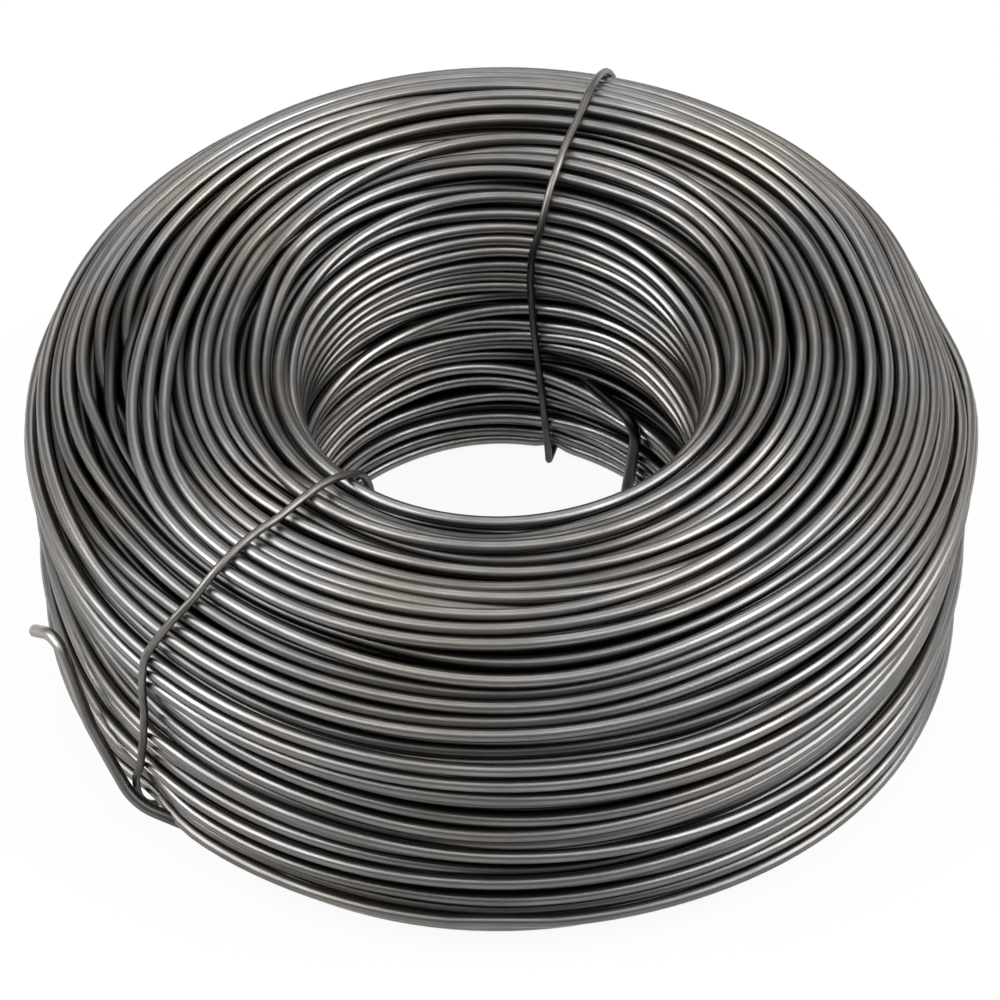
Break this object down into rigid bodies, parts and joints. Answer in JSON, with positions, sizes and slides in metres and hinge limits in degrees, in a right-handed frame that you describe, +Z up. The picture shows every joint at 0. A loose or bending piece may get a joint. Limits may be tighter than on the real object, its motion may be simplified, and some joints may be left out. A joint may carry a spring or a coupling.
{
  "type": "coil of tie wire",
  "caption": "Thick ring of black annealed steel wire wound on itself round an open bore, held by thin wire ties, for tying reinforcing bars.",
  "frame": {"origin": "centre of the bore, on the plane that the coil lies on", "axes": "+Z up along the bore's axis; -Y is the side the coil is seen from, with the front tie to its left"},
  "size_m": [0.12, 0.12, 0.0493],
  "materials": {
    "annealed_wire": "black annealed steel wire, dull dark grey with a drawn sheen",
    "tie_wire": "thin black annealed steel wire"
  },
  "bodies": {
    "root": {"wire_coil": "annealed_wire", "tie_back": "tie_wire", "tie_front": "tie_wire"}
  },
  "joints": []
}
